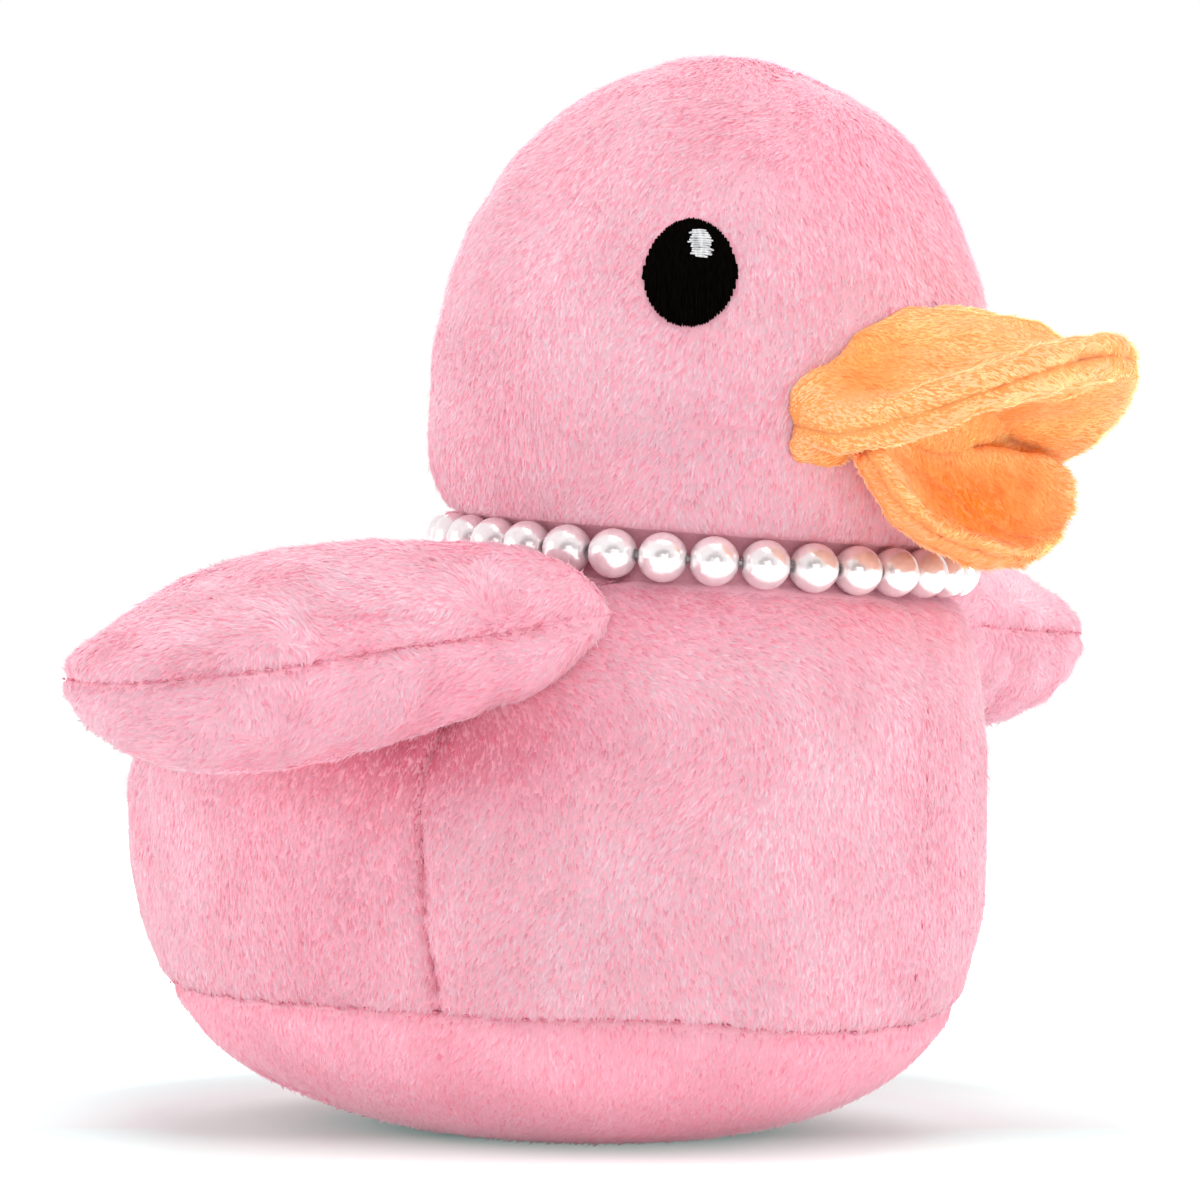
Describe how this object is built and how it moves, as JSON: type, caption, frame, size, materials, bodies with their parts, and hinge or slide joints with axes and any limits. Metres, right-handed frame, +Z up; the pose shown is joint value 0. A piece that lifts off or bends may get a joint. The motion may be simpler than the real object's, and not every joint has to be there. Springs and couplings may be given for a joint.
{
  "type": "stuffed duck",
  "caption": "Plush duck with plump sewn-on wings, an open bill that swings, embroidered eyes and a string of round beads that turns in the groove of its neck.",
  "frame": {"origin": "on the surface that the duck sits on, under the middle of its body", "axes": "+Z up, -Y the way the bill points, +X to the duck's own left side"},
  "size_m": [0.2296, 0.1977, 0.182],
  "materials": {
    "pink_pile": "short pale pink plush pile",
    "orange_pile": "short orange plush pile",
    "polyester_fibre": "loose white fibre filling",
    "black_thread": "satin-stitched black thread",
    "white_thread": "satin-stitched white thread",
    "clear_elastic": "clear round elastic",
    "pearl": "pearlescent white coating"
  },
  "bodies": {
    "duck": {"chest_panel_left": "pink_pile", "rear_panel_left": "pink_pile", "rear_panel_right": "pink_pile", "chest_panel_right": "pink_pile", "base_panel": "pink_pile", "body_filling": "polyester_fibre", "head_half_left": "pink_pile", "head_half_right": "pink_pile", "head_filling": "polyester_fibre", "eye_left": "black_thread", "eye_right": "black_thread", "eye_glint_left": "white_thread", "eye_glint_right": "white_thread", "upper_bill_top": "orange_pile", "upper_bill_underside": "orange_pile", "upper_bill_filling": "polyester_fibre"},
    "wing_right": {"wing_top_right": "pink_pile", "wing_underside_right": "pink_pile", "wing_filling_right": "polyester_fibre"},
    "wing_left": {"wing_top_left": "pink_pile", "wing_underside_left": "pink_pile", "wing_filling_left": "polyester_fibre"},
    "lower_bill": {"lower_bill_top": "orange_pile", "lower_bill_underside": "orange_pile", "lower_bill_filling": "polyester_fibre"},
    "necklace": {"necklace_cord": "clear_elastic", "bead_01": "pearl", "bead_02": "pearl", "bead_03": "pearl", "bead_04": "pearl", "bead_05": "pearl", "bead_06": "pearl", "bead_07": "pearl", "bead_08": "pearl", "bead_09": "pearl", "bead_10": "pearl", "bead_11": "pearl", "bead_12": "pearl", "bead_13": "pearl", "bead_14": "pearl", "bead_15": "pearl", "bead_16": "pearl", "bead_17": "pearl", "bead_18": "pearl", "bead_19": "pearl", "bead_20": "pearl", "bead_21": "pearl", "bead_22": "pearl", "bead_23": "pearl", "bead_24": "pearl", "bead_25": "pearl", "bead_26": "pearl", "bead_27": "pearl", "bead_28": "pearl", "bead_29": "pearl", "bead_30": "pearl", "bead_31": "pearl", "bead_32": "pearl", "bead_33": "pearl"}
  },
  "joints": [
    {"name": "wing_right_lift", "type": "hinge", "parent": "duck", "child": "wing_right", "pos_m": [-0.05052, -0.03, 0.0875], "axis": [0, 1, 0], "range_deg": [-4, 30], "stiffness_Nm_per_rad": 0.3},
    {"name": "wing_left_lift", "type": "hinge", "parent": "duck", "child": "wing_left", "pos_m": [0.05052, -0.03, 0.0875], "axis": [0, -1, 0], "range_deg": [-4, 30], "stiffness_Nm_per_rad": 0.3},
    {"name": "lower_bill_swing", "type": "hinge", "parent": "duck", "child": "lower_bill", "pos_m": [0, -0.0811, 0.1146], "axis": [-1, 0, 0], "range_deg": [-4, 25], "stiffness_Nm_per_rad": 0.05},
    {"name": "necklace_turn", "type": "hinge", "parent": "duck", "child": "necklace", "pos_m": [0, -0.0332, 0.0995], "axis": [0, -0.0958, 0.9954], "continuous": true}
  ]
}
